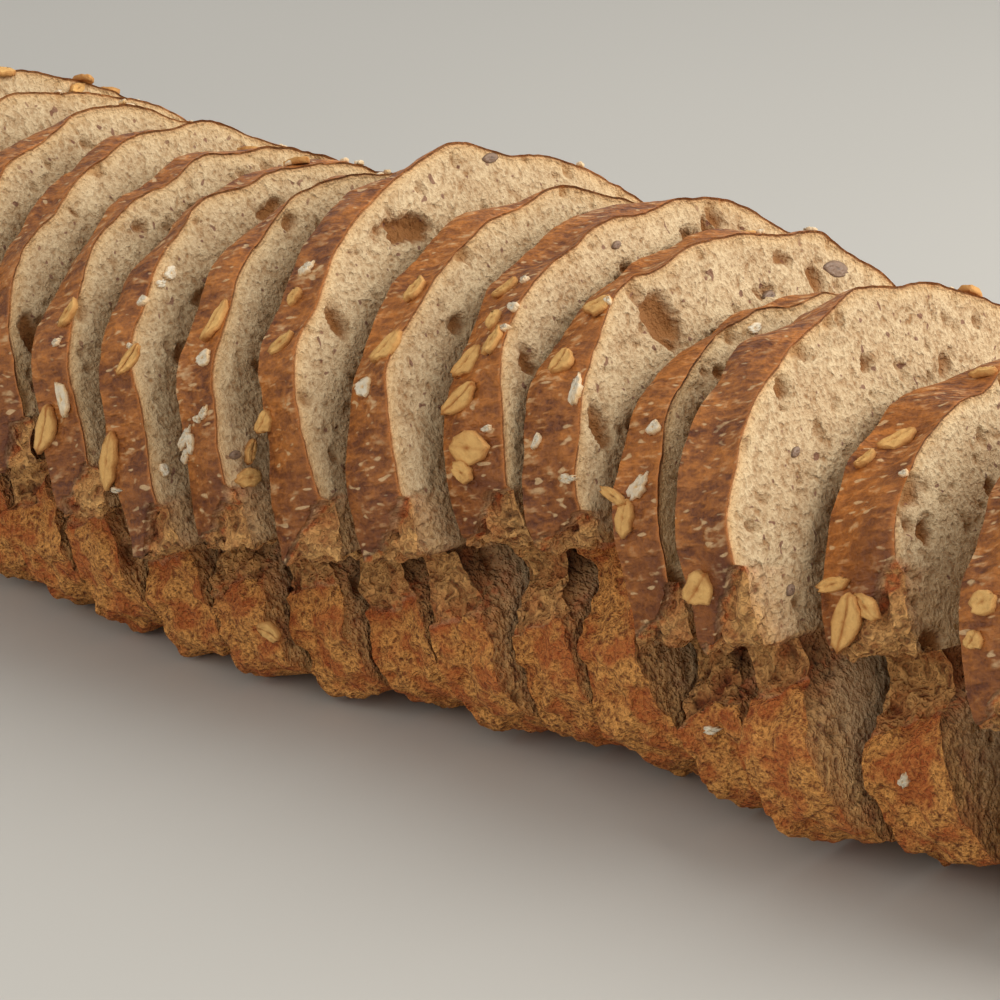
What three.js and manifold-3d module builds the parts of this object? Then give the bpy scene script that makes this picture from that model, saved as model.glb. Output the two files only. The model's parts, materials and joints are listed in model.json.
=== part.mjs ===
// A sliced wholegrain loaf with oat flakes on its crust: eighteen slices in a row, leaning back.
// Millimetres, +Z up. The row runs along X, the cut faces look towards +X and up,
// and the crust side with the oat flakes is at -Y. The floor is at Z = 0.
import * as THREE from 'three';
import * as BufferGeometryUtils from 'three/addons/utils/BufferGeometryUtils.js';
import Module from 'manifold-3d';

const wasm = await Module();
wasm.setup();

// Driving dimensions
const LEAN = 22;             // degrees that every slice leans back from upright
const SLICE_GAP = 0.7;       // least clear space between neighbouring slices
const TAPER_START = 0.2;     // part of the height over which a slice keeps its full thickness
const SINK = 0.8;            // how far the lower back edge is flattened by its own weight
const FOOT = 29;             // half width of the flat base
const CRUST_RELIEF = 0.45;   // bumps of the crust
const OUTLINE_POINTS = 50;   // corners round one slice
const HEEL_SHRINK = 0.34;    // how much smaller the rounded end of a heel is

const FLAKE_LENGTH = 9;
const FLAKE_WIDTH = 5.2;
const FLAKE_HEIGHT = 2;
const FLAKES_PER_SLICE = 3;

// One row for each slice, from the far heel to the near heel: place of the foot along X and Y,
// half width, height, height of the torn ledge on the crust side, half width below the ledge,
// thickness at the base and at the top, and how pointed the dome's shoulder is, from 0 to 1.
const SLICES = [
  { x: -110, y: -5, half: 41, height: 75, ledge: 29, low: 33, base: 14, top: 10, peak: 1 },
  { x: -94, y: -4, half: 45.5, height: 82, ledge: 31, low: 36, base: 12.6, top: 6, peak: 1 },
  { x: -80, y: -3, half: 46.5, height: 80.5, ledge: 32, low: 37, base: 12.6, top: 6, peak: 1 },
  { x: -65.5, y: -3, half: 47, height: 79.5, ledge: 33, low: 38, base: 12.6, top: 6, peak: 1 },
  { x: -51, y: -3, half: 47, height: 79, ledge: 34, low: 38, base: 12.6, top: 6, peak: 1 },
  { x: -36.5, y: -4, half: 46.5, height: 78, ledge: 30, low: 34, base: 12.6, top: 5.8, peak: 1 },
  { x: -22.2, y: -3, half: 46.5, height: 78.5, ledge: 27, low: 34, base: 12.6, top: 5, peak: 1 },
  { x: -8, y: 1.2, half: 47.5, height: 79.5, ledge: 31, low: 35, base: 12.6, top: 5.5, peak: 1 },
  { x: 6.4, y: 8.5, half: 50.5, height: 83.5, ledge: 32, low: 39, base: 12.6, top: 7, peak: 0.9 },
  { x: 20.9, y: 9.4, half: 48, height: 78.5, ledge: 35, low: 40, base: 12.6, top: 7.9, peak: 0.7 },
  { x: 35, y: 15.5, half: 46, height: 78.5, ledge: 39, low: 43, base: 12.3, top: 10.5, peak: 0.3 },
  { x: 49, y: 16.5, half: 46, height: 76.5, ledge: 42, low: 44, base: 12.6, top: 9, peak: 0.3 },
  { x: 64, y: 15.5, half: 44.5, height: 70.5, ledge: 31, low: 40, base: 12.2, top: 5.8, peak: 0.3 },
  { x: 79.3, y: 15, half: 46.8, height: 74.8, ledge: 36, low: 44, base: 12.2, top: 9.3, peak: 0 },
  { x: 94.5, y: 19, half: 40.5, height: 65.5, ledge: 36, low: 40, base: 14, top: 12.5, peak: 0.1 },
  { x: 120.5, y: 16.5, half: 42, height: 68.5, ledge: 35, low: 41, base: 12.6, top: 11, peak: 0.3 },
  { x: 135.2, y: 17.5, half: 41.5, height: 66.5, ledge: 34, low: 39, base: 12.6, top: 11, peak: 0.3 },
  { x: 149.7, y: 18.5, half: 38.5, height: 61, ledge: 32, low: 35, base: 15, top: 13, peak: 0.3 },
];

// Large bubbles in the cut faces: slice number, centre across and up the face,
// then half width, half height and depth, and the turn in degrees.
const HOLES = [
  { slice: 3, across: -5, up: 70, wide: 4.5, tall: 2.2, deep: 2.5, turn: -10 },
  { slice: 5, across: -38, up: 51, wide: 2.6, tall: 6, deep: 3, turn: 8 },
  { slice: 7, across: -3, up: 72, wide: 3.5, tall: 1.8, deep: 2.4, turn: 12 },
  { slice: 9, across: -14, up: 74, wide: 6, tall: 2.6, deep: 3.5, turn: -14 },
  { slice: 9, across: -34, up: 64, wide: 1.8, tall: 3.2, deep: 2.2, turn: 20 },
  { slice: 10, across: -24, up: 64, wide: 2, tall: 2, deep: 2, turn: 0 },
  { slice: 12, across: -16, up: 67, wide: 4, tall: 4.8, deep: 3.2, turn: 18 },
  { slice: 12, across: -36, up: 56, wide: 1.8, tall: 4.2, deep: 2.6, turn: 6 },
  { slice: 14, across: -26, up: 67, wide: 1.6, tall: 2, deep: 2.2, turn: 0 },
  { slice: 15, across: -31, up: 57, wide: 3.2, tall: 4.6, deep: 2.8, turn: 38 },
  { slice: 16, across: 4, up: 60, wide: 3.4, tall: 2.4, deep: 2.6, turn: -20 },
  { slice: 17, across: -20, up: 52, wide: 2.4, tall: 3.6, deep: 2.6, turn: 15 },
];

const lean = THREE.MathUtils.degToRad(LEAN);
const crumb = new THREE.MeshStandardMaterial({ color: 0xb98e5c, roughness: 0.9, metalness: 0 });

// A small repeatable random series, so that every run gives the same loaf.
function randomSeries(seed) {
  let state = seed * 7919 + 17;
  return () => {
    state = (state * 48271) % 2147483647;
    return state / 2147483647;
  };
}

function toManifold(geometry) {
  const bare = geometry.index ? geometry.toNonIndexed() : geometry.clone();
  bare.deleteAttribute('normal');
  bare.deleteAttribute('uv');
  const merged = BufferGeometryUtils.mergeVertices(bare, 1e-4);
  return new wasm.Manifold(new wasm.Mesh({
    numProp: 3,
    vertProperties: new Float32Array(merged.attributes.position.array),
    triVerts: new Uint32Array(merged.index.array),
  }));
}

function toGeometry(solid) {
  const mesh = solid.getMesh();
  const geometry = new THREE.BufferGeometry();
  geometry.setAttribute('position', new THREE.BufferAttribute(new Float32Array(mesh.vertProperties), 3));
  geometry.setIndex(new THREE.BufferAttribute(new Uint32Array(mesh.triVerts), 1));
  geometry.computeVertexNormals();
  return geometry;
}

// The closed outline of a slice: flat base, lower side, recessed torn neck, overhanging ledge,
// domed top crust, and the far side. X is across the slice, Y is up along it.
function sliceCurve({ half, height, ledge, low, peak }) {
  const shoulder = [0.965 - 0.065 * peak, 0.825 - 0.125 * peak, 0.56 - 0.12 * peak, 0.23 - 0.08 * peak];
  const neck = Math.min(low - 2.5, half - 10);
  const corners = [
    [-0.6 * FOOT, 0],
    [-FOOT, 0.05 * ledge],
    [-0.5 * (FOOT + low) - 1, 0.15 * ledge],
    [-0.97 * low, 0.3 * ledge],
    [-low, 0.46 * ledge],
    [-low + 0.8, 0.62 * ledge],
    [-neck, 0.8 * ledge],
    [-neck - 1, 0.92 * ledge],
    [-half + 2, ledge - 1.2],
    [-half, ledge + 2.5],
    [-shoulder[0] * half, 0.7 * height],
    [-shoulder[1] * half, 0.84 * height],
    [-shoulder[2] * half, 0.945 * height],
    [-shoulder[3] * half, 0.995 * height],
    [0.07 * half, height],
    [0.37 * half, 0.957 * height],
    [0.65 * half, 0.87 * height],
    [0.86 * half, 0.74 * height],
    [0.977 * half, 0.58 * height],
    [0.99 * half, 0.41 * height],
    [0.93 * half, 0.235 * height],
    [0.79 * half, 0.1 * height],
    [0.6 * half, 0.03 * height],
    [0.6 * FOOT, 0],
  ];
  const points = corners.map(([across, up]) => new THREE.Vector3(across, up, 0));
  return new THREE.CatmullRomCurve3(points, true, 'catmullrom', 0.5);
}

// Thickness of a slice at a height: slices are thinner towards the top.
function thicknessAt({ base, top, height }, up) {
  const rise = (up / height - TAPER_START) / (1 - TAPER_START);
  return base + (top - base) * Math.min(1, Math.max(0, rise));
}

// A slice as a solid: x through its thickness, y across and z up along the slice.
function sliceBody(curve, row, heel, random) {
  const outline = [];
  for (let i = 0; i < OUTLINE_POINTS; i += 1) {
    const point = curve.getPoint(i / OUTLINE_POINTS);
    outline.push(new THREE.Vector2(point.x, Math.max(0, point.y)));
  }
  const steps = heel ? 5 : 2;
  const body = new THREE.ExtrudeGeometry(new THREE.Shape(outline), {
    depth: 1, steps, bevelEnabled: false,
  });
  const phase = [random() * 6, random() * 6, random() * 6];
  const position = body.attributes.position;
  for (let i = 0; i < position.count; i += 1) {
    const across = position.getX(i);
    const up = position.getY(i);
    const share = position.getZ(i);
    const through = share * thicknessAt(row, up);
    let shrink = 1;
    if (heel) {
      const outward = heel > 0 ? share : 1 - share;
      shrink = 1 - HEEL_SHRINK * outward ** 3 - 0.06 * outward;
    }
    const angle = Math.atan2(up - 35, across);
    const bump = Math.sin(5 * angle + phase[0] + 0.3 * through)
      + 0.6 * Math.sin(11 * angle + phase[1] - 0.25 * through)
      + 0.4 * Math.sin(17 * angle + phase[2]);
    const swell = 1 + (up > 1 ? (CRUST_RELIEF * bump) / 50 : 0);
    position.setXYZ(i, through, across * shrink * swell, up * shrink * swell);
  }
  return body;
}

// An oat flake: a flat oval, a little pinched along its crease, lying on the crust at one place.
function oatFlake(curve, along, through, turn, size) {
  const flake = new THREE.SphereGeometry(0.5, 6, 4);
  const position = flake.attributes.position;
  for (let i = 0; i < position.count; i += 1) {
    const crease = 1 - 0.25 * Math.exp(-((position.getX(i) / 0.16) ** 2));
    position.setY(i, position.getY(i) * crease);
  }
  flake.scale(FLAKE_WIDTH * size, FLAKE_HEIGHT, FLAKE_LENGTH * size);
  flake.rotateY(turn);
  const point = curve.getPoint(along);
  const tangent = curve.getTangent(along);
  const outward = new THREE.Vector3(0, -tangent.y, tangent.x).negate();
  const upward = new THREE.Vector3(0, tangent.x, tangent.y);
  const through3 = new THREE.Vector3().crossVectors(outward, upward);
  const frame = new THREE.Matrix4().makeBasis(through3, outward, upward);
  flake.applyMatrix4(frame);
  flake.translate(through, point.x + 0.35 * outward.y, point.y + 0.35 * outward.z);
  return flake;
}

function holeTool({ across, up, wide, tall, deep, turn }, row) {
  const hole = new THREE.SphereGeometry(1, 9, 6);
  hole.scale(deep, wide, tall);
  hole.rotateX(THREE.MathUtils.degToRad(turn));
  hole.translate(thicknessAt(row, up), across, up);
  return hole;
}

// The space below the floor, as the leaning slice sees it.
function floorTool() {
  const block = new THREE.BoxGeometry(300, 300, 40);
  block.translate(0, 0, SINK - 20);
  block.rotateY(lean);
  return block;
}

function makeSlice(row, index) {
  const random = randomSeries(index + 1);
  const first = index === 0;
  const last = index === SLICES.length - 1;
  const fitted = { ...row };
  if (!last) {
    const room = (SLICES[index + 1].x - row.x) * Math.cos(lean) - SLICE_GAP;
    fitted.base = Math.min(row.base, room);
  }
  const heel = Number(last) - Number(first);
  const curve = sliceCurve(row);
  let solid = toManifold(sliceBody(curve, fitted, heel, random));
  for (const hole of HOLES.filter((item) => item.slice === index + 1)) {
    solid = solid.subtract(toManifold(holeTool(hole, fitted)));
  }
  const flakes = heel ? 0 : FLAKES_PER_SLICE;
  for (let i = 0; i < flakes; i += 1) {
    const along = 0.385 + (0.15 * (i + 0.6 * random())) / FLAKES_PER_SLICE;
    const through = thicknessAt(fitted, curve.getPoint(along).y) * (0.46 + 0.1 * random());
    const turn = (random() - 0.5) * 0.7;
    const size = 0.82 + 0.18 * random();
    solid = solid.add(toManifold(oatFlake(curve, along, through, turn, size)));
  }
  solid = solid.subtract(toManifold(floorTool()));

  const mesh = new THREE.Mesh(toGeometry(solid), crumb.clone());
  mesh.name = `slice_${String(index + 1).padStart(2, '0')}`;
  mesh.rotation.y = -lean;
  mesh.position.set(row.x, row.y, -SINK);
  return mesh;
}

const row = new THREE.Group();
SLICES.forEach((item, index) => row.add(makeSlice(item, index)));

// The origin is on the floor under the middle of the row.
row.updateMatrixWorld(true);
const extent = new THREE.Box3().setFromObject(row, true);
const middle = extent.getCenter(new THREE.Vector3());
row.position.set(-middle.x, -middle.y, -extent.min.z);

const loaf = new THREE.Group();
loaf.name = 'sliced_loaf';
loaf.add(row);

export default loaf;
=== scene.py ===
import json
import math

import bpy
import numpy as np
from bpy.props import FloatProperty, FloatVectorProperty, IntProperty, PointerProperty
from mathutils import Matrix, Vector

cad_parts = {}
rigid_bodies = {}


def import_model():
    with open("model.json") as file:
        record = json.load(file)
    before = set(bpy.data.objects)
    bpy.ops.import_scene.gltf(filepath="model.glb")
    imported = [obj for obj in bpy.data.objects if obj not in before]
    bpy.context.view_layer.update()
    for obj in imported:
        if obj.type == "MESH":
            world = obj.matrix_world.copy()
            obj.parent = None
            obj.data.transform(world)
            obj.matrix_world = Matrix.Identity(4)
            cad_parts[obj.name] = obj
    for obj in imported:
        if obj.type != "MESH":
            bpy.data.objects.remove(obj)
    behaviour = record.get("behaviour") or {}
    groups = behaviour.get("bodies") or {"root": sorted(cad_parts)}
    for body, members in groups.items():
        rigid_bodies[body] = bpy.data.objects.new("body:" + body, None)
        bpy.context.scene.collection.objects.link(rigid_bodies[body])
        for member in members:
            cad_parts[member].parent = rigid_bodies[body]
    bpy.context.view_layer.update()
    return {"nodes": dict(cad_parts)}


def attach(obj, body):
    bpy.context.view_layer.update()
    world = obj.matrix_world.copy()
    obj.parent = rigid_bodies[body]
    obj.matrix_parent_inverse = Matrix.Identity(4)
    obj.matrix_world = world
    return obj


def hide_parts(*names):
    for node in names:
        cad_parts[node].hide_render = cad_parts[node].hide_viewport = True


bl_info = {
    "name": "Sliced wholegrain loaf",
    "version": (1, 0, 0),
    "blender": (4, 5, 0),
    "location": "3D View > Sidebar > Loaf",
    "description": "Slices, oat flakes and stage for a sliced loaf over its packed solids",
    "category": "Object",
}

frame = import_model()

MILLIMETRE = 0.001
BODY = "root"
PICTURE = 1000  # width and height of the picture, in pixels
SENSOR = 36     # width of the camera's sensor, in millimetres

# Where the row of slices stands in the frame, in millimetres
ROW_X = -16.094
ROW_Y = -5.839

# One entry for each slice, from the far heel to the near heel: place of its foot, half width,
# height, height of the torn ledge, half width below the ledge, thickness at the base and at the
# top, how pointed its shoulder is, how far the crust is torn back at the cut face, and how much
# of the neck is torn crumb instead of crust.
SLICES = [
    dict(x=-110, y=-5, half=41, height=75, ledge=29, low=33,
         base=14, top=10, peak=1, tear=5, torn=1),
    dict(x=-94, y=-4, half=45.5, height=82, ledge=31, low=36,
         base=12.6, top=6, peak=1, tear=6, torn=1),
    dict(x=-80, y=-3, half=46.5, height=80.5, ledge=32, low=37,
         base=12.6, top=6, peak=1, tear=7, torn=1),
    dict(x=-65.5, y=-3, half=47, height=79.5, ledge=33, low=38,
         base=12.6, top=6, peak=1, tear=7, torn=1),
    dict(x=-51, y=-3, half=47, height=79, ledge=34, low=38,
         base=12.6, top=6, peak=1, tear=7, torn=1),
    dict(x=-36.5, y=-4, half=46.5, height=78, ledge=30, low=34,
         base=12.6, top=5.8, peak=1, tear=7, torn=1),
    dict(x=-22.2, y=-3, half=46.5, height=78.5, ledge=27, low=34,
         base=12.6, top=5, peak=1, tear=7, torn=1),
    dict(x=-8, y=1.2, half=47.5, height=79.5, ledge=31, low=35,
         base=12.6, top=5.5, peak=1, tear=7, torn=1),
    dict(x=6.4, y=8.5, half=50.5, height=83.5, ledge=32, low=39,
         base=12.6, top=7, peak=0.9, tear=7, torn=1),
    dict(x=20.9, y=9.4, half=48, height=78.5, ledge=35, low=40,
         base=12.6, top=7.9, peak=0.7, tear=7, torn=1),
    dict(x=35, y=15.5, half=46, height=78.5, ledge=39, low=43,
         base=12.3, top=10.5, peak=0.3, tear=7, torn=1),
    dict(x=49, y=16.5, half=46, height=76.5, ledge=42, low=44,
         base=12.6, top=9, peak=0.3, tear=3, torn=0.35),
    dict(x=64, y=15.5, half=44.5, height=70.5, ledge=31, low=40,
         base=12.2, top=5.8, peak=0.3, tear=8, torn=1),
    dict(x=79.3, y=15, half=46.8, height=74.8, ledge=36, low=44,
         base=12.2, top=9.3, peak=0, tear=10, torn=0.8),
    dict(x=94.5, y=19, half=40.5, height=65.5, ledge=36, low=40,
         base=14, top=12.5, peak=0.1, tear=9, torn=0.9),
    dict(x=120.5, y=16.5, half=42, height=68.5, ledge=35, low=41,
         base=12.6, top=11, peak=0.3, tear=8, torn=1),
    dict(x=135.2, y=17.5, half=41.5, height=66.5, ledge=34, low=39,
         base=12.6, top=11, peak=0.3, tear=7, torn=1),
    dict(x=149.7, y=18.5, half=38.5, height=61, ledge=32, low=35,
         base=15, top=13, peak=0.3, tear=6, torn=1),
]

# Large bubbles in the cut faces: slice number, centre across and up the face, half width,
# half height, depth and turn in degrees.
BUBBLES = [
    dict(slice=3, across=-5, up=70, wide=4.5, tall=2.2, deep=2.5, turn=-10),
    dict(slice=5, across=-38, up=51, wide=2.6, tall=6, deep=3, turn=8),
    dict(slice=7, across=-3, up=72, wide=3.5, tall=1.8, deep=2.4, turn=12),
    dict(slice=9, across=-14, up=74, wide=6, tall=2.6, deep=3.5, turn=-14),
    dict(slice=9, across=-34, up=64, wide=1.8, tall=3.2, deep=2.2, turn=20),
    dict(slice=10, across=-24, up=64, wide=2, tall=2, deep=2, turn=0),
    dict(slice=12, across=-16, up=67, wide=4, tall=4.8, deep=3.2, turn=18),
    dict(slice=12, across=-36, up=56, wide=1.8, tall=4.2, deep=2.6, turn=6),
    dict(slice=14, across=-26, up=67, wide=1.6, tall=2, deep=2.2, turn=0),
    dict(slice=15, across=-31, up=57, wide=3.2, tall=4.6, deep=2.8, turn=38),
    dict(slice=16, across=4, up=60, wide=3.4, tall=2.4, deep=2.6, turn=-20),
    dict(slice=17, across=-20, up=52, wide=2.4, tall=3.6, deep=2.6, turn=15),
]

# Flakes that the photograph shows, by the pixel of their middle in a picture 1000 wide:
# length and width in pixels, and the turn of the long side from the picture's right, in degrees.
OAT_FLAKES = [
    dict(x=47, y=429, long=50, wide=23, turn=78),
    dict(x=110, y=460, long=59, wide=20, turn=83),
    dict(x=71, y=314, long=34, wide=12, turn=62),
    dict(x=217, y=322, long=52, wide=14, turn=60),
    dict(x=130, y=360, long=38, wide=12, turn=56),
    dict(x=296, y=297, long=22, wide=14, turn=55),
    dict(x=284, y=344, long=33, wide=13, turn=44),
    dict(x=260, y=422, long=28, wide=15, turn=65),
    dict(x=263, y=452, long=26, wide=10, turn=80),
    dict(x=262, y=478, long=27, wide=17, turn=10),
    dict(x=417, y=291, long=30, wide=18, turn=55),
    dict(x=388, y=348, long=46, wide=18, turn=48),
    dict(x=507, y=290, long=31, wide=11, turn=38),
    dict(x=495, y=320, long=23, wide=15, turn=60),
    dict(x=495, y=342, long=34, wide=13, turn=60),
    dict(x=469, y=363, long=45, wide=19, turn=50),
    dict(x=461, y=400, long=44, wide=21, turn=45),
    dict(x=470, y=448, long=38, wide=30, turn=-8),
    dict(x=465, y=472, long=25, wide=19, turn=-45),
    dict(x=599, y=307, long=34, wide=19, turn=26),
    dict(x=563, y=363, long=30, wide=25, turn=55),
    dict(x=626, y=518, long=40, wide=20, turn=80),
    dict(x=616, y=497, long=30, wide=11, turn=-35),
    dict(x=700, y=588, long=38, wide=26, turn=60),
    dict(x=850, y=622, long=60, wide=28, turn=78),
    dict(x=882, y=607, long=36, wide=18, turn=-50),
    dict(x=836, y=585, long=34, wide=14, turn=15),
    dict(x=898, y=442, long=46, wide=22, turn=28),
    dict(x=867, y=461, long=26, wide=10, turn=40),
    dict(x=984, y=374, long=28, wide=12, turn=10),
    dict(x=986, y=603, long=28, wide=24, turn=20),
    dict(x=975, y=640, long=22, wide=16, turn=60),
    dict(x=277, y=630, long=26, wide=20, turn=-30),
    dict(x=10, y=73, long=24, wide=16, turn=0),
    dict(x=90, y=89, long=16, wide=10, turn=30),
]

# Pale chips and slivers of broken flake, in the same terms
PALE_CHIPS = [
    dict(x=64, y=399, long=42, wide=12, turn=103),
    dict(x=57, y=343, long=9, wide=6, turn=60),
    dict(x=183, y=274, long=16, wide=10, turn=50),
    dict(x=174, y=284, long=9, wide=8, turn=40),
    dict(x=158, y=302, long=13, wide=10, turn=60),
    dict(x=144, y=347, long=7, wide=6, turn=0),
    dict(x=205, y=359, long=18, wide=14, turn=40),
    dict(x=205, y=413, long=14, wide=8, turn=70),
    dict(x=199, y=419, long=7, wide=6, turn=0),
    dict(x=183, y=439, long=25, wide=9, turn=70),
    dict(x=192, y=443, long=26, wide=8, turn=100),
    dict(x=187, y=456, long=16, wide=8, turn=80),
    dict(x=177, y=470, long=16, wide=8, turn=110),
    dict(x=307, y=270, long=19, wide=13, turn=45),
    dict(x=365, y=388, long=19, wide=16, turn=20),
    dict(x=525, y=281, long=9, wide=7, turn=30),
    dict(x=514, y=308, long=10, wide=8, turn=0),
    dict(x=505, y=329, long=10, wide=7, turn=30),
    dict(x=612, y=302, long=9, wide=8, turn=30),
    dict(x=577, y=390, long=28, wide=12, turn=80),
    dict(x=538, y=442, long=20, wide=6, turn=70),
    dict(x=569, y=479, long=15, wide=9, turn=10),
    dict(x=488, y=429, long=11, wide=5, turn=30),
    dict(x=639, y=488, long=30, wide=17, turn=60),
    dict(x=655, y=429, long=19, wide=13, turn=50),
    dict(x=713, y=730, long=16, wide=8, turn=10),
    dict(x=766, y=329, long=16, wide=8, turn=25),
    dict(x=905, y=780, long=14, wide=10, turn=80),
    dict(x=905, y=475, long=11, wide=5, turn=30),
    dict(x=112, y=490, long=11, wide=5, turn=0),
]

# Seeds and grains held in the cut faces, in the same terms
CRUMB_SEEDS = [
    dict(x=836, y=269, long=26, wide=15, turn=-10),
    dict(x=790, y=590, long=12, wide=9, turn=60),
    dict(x=235, y=455, long=12, wide=8, turn=10),
    dict(x=115, y=322, long=13, wide=9, turn=-20),
    dict(x=770, y=296, long=15, wide=10, turn=10),
    dict(x=490, y=158, long=16, wide=9, turn=10),
    dict(x=795, y=452, long=12, wide=8, turn=50),
    dict(x=616, y=245, long=10, wide=7, turn=30),
]


def tint(red, green, blue):
    """A colour as the eye reads it, 0 to 255, as the linear colour that a shader takes."""
    linear = []
    for part in (red, green, blue):
        share = part / 255
        linear.append(share / 12.92 if share <= 0.04045 else ((share + 0.055) / 1.055) ** 2.4)
    return (*linear, 1.0)


# Sizes and colours that a user would change


def colour(name, description, default):
    """A colour property with its default."""
    return FloatVectorProperty(
        name=name, description=description, default=default, size=4, subtype="COLOR",
        min=0.0, max=1.0)


class LoafSizes(bpy.types.PropertyGroup):
    lean: FloatProperty(
        name="Lean", description="How far every slice leans back from upright",
        default=math.radians(22), subtype="ANGLE", unit="ROTATION")
    thickness: FloatProperty(
        name="Thickness", description="Factor on the thicknesses in the table of slices",
        default=1.0, min=0.5, max=1.0)
    gap: FloatProperty(
        name="Gap", description="Least clear space between neighbouring slices",
        default=0.0007, subtype="DISTANCE", unit="LENGTH")
    sink: FloatProperty(
        name="Sink", description="How far the lower back edge is flattened on the floor",
        default=0.0008, subtype="DISTANCE", unit="LENGTH")
    foot: FloatProperty(
        name="Foot", description="Half width of the flat base",
        default=0.029, subtype="DISTANCE", unit="LENGTH")
    fine_step: FloatProperty(
        name="Fine step", description="Mesh spacing on the crust side and near the cut edges",
        default=0.00052, subtype="DISTANCE", unit="LENGTH")
    heel_shrink: FloatProperty(
        name="Heel shrink", description="How much smaller the rounded end of a heel is",
        default=0.34, min=0.0, max=0.9)
    seed: IntProperty(
        name="Seed", description="Start of the random series for pores and bumps", default=11)


class BreadColours(bpy.types.PropertyGroup):
    crumb_light: colour(
        "Light crumb", "Walls between the cells of the cut face",
        tint(225, 199, 157))
    # Painted shade in the cells and pits of the cut face, and darker clouds of the crumb's random
    # tone
    crumb_dark: colour("Dark crumb", "Cells of the cut face", tint(162, 121, 78))
    # Painted shade inside the bubbles, in the hollows of the torn threads and at the pinched neck
    pore: colour("Pore", "Inside of the bubbles", tint(148, 98, 50))
    bran: colour("Bran", "Specks of bran in the crumb", tint(120, 74, 56))
    rim: colour("Rim", "Crumb next to the crust", tint(232, 192, 134))
    cut_edge: colour("Cut edge", "Crust where the knife went through it", tint(206, 126, 60))
    crust_light: colour("Light crust", "Golden streaks of the crust", tint(206, 128, 56))
    crust_dark: colour("Dark crust", "Brown parts of the crust", tint(100, 50, 22))
    # The crust's darker baking colour next to the tear, together with painted shade by the ledge
    crust_red: colour("Baked crust", "Dark parts near the ledge", tint(84, 34, 14))
    soft_light: colour("Light soft crust", "Pale grains of the lower side", tint(246, 174, 92))
    soft_dark: colour("Dark soft crust", "Brown grains of the lower side", tint(140, 79, 34))
    # Random orange brown patches, and next to the tear the baking colour with painted shade
    soft_red: colour(
        "Baked soft crust", "Orange brown patches of the lower side",
        tint(188, 86, 32))
    torn_light: colour("Light torn crumb", "Raised threads of the torn side", tint(240, 184, 112))
    # Painted shade in the hollows between the torn threads
    torn_dark: colour("Dark torn crumb", "Hollows of the torn side", tint(142, 82, 38))
    # Painted shade in the hollows of the torn threads and between the torn necks
    gap: colour("Gap", "Hollows between the torn necks", tint(92, 56, 28))
    flour: colour("Flour", "Dusting on the crust", tint(232, 196, 146))


class FlakeColours(bpy.types.PropertyGroup):
    oat: colour("Oat", "Toasted oat flakes", tint(238, 188, 114))
    # Painted shade in the creases and on the underside of the flakes, and their darker edges
    oat_dark: colour("Oat crease", "Creases and edges of the flakes", tint(178, 110, 48))
    chip: colour("Chip", "Pale broken flake", tint(240, 228, 204))
    seed: colour("Seed", "Seeds in the crumb", tint(148, 120, 98))
    thickness: FloatProperty(
        name="Flake thickness", description="Thickness of an oat flake",
        default=0.0010, subtype="DISTANCE", unit="LENGTH")


class StageSettings(bpy.types.PropertyGroup):
    azimuth: FloatProperty(
        name="Azimuth", description="Camera's turn round the row",
        default=math.radians(42), subtype="ANGLE", unit="ROTATION")
    elevation: FloatProperty(
        name="Elevation", description="Camera's height above the horizon",
        default=math.radians(22), subtype="ANGLE", unit="ROTATION")
    distance: FloatProperty(
        name="Distance", description="Camera to the point it looks at",
        default=0.5, subtype="DISTANCE", unit="LENGTH")
    target: FloatVectorProperty(
        name="Target", description="Point that the camera looks at",
        default=(-0.016094, -0.005839, 0.0277), size=3, subtype="TRANSLATION", unit="LENGTH")
    lens: FloatProperty(
        name="Lens", description="Focal length in millimetres on a 36 millimetre sensor",
        default=113.4)
    floor: colour("Floor", "Plain pale floor", tint(200, 197, 190))
    key_power: FloatProperty(
        name="Key light", description="Power of the large soft light", default=5.9, unit="POWER")
    fill_power: FloatProperty(
        name="Fill light", description="Power of the light from the front", default=1.7,
        unit="POWER")
    sky: FloatProperty(
        name="Sky", description="Strength of the even light from all round", default=0.56)


# Shader maths as Python expressions


class Number:
    """A number that changes over a surface. Python's operators on it add Math nodes."""

    def __init__(self, finish, socket):
        self.finish = finish
        self.socket = socket

    def math(self, operation, first, second, clamp=False):
        settings = {"operation": operation, "use_clamp": clamp}
        node = self.finish.add("ShaderNodeMath", settings, {0: first, 1: second})
        return Number(self.finish, node.outputs[0])

    def __add__(self, other):
        return self.math("ADD", self, other)

    __radd__ = __add__

    def __sub__(self, other):
        return self.math("SUBTRACT", self, other)

    def __rsub__(self, other):
        return self.math("SUBTRACT", other, self)

    def __mul__(self, other):
        return self.math("MULTIPLY", self, other)

    __rmul__ = __mul__

    def largest(self, other):
        return self.math("MAXIMUM", self, other)

    def between(self, low, high):
        """0 at low, 1 at high, straight between them and flat outside."""
        return self.math("MULTIPLY", self - low, 1 / (high - low), clamp=True)


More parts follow.
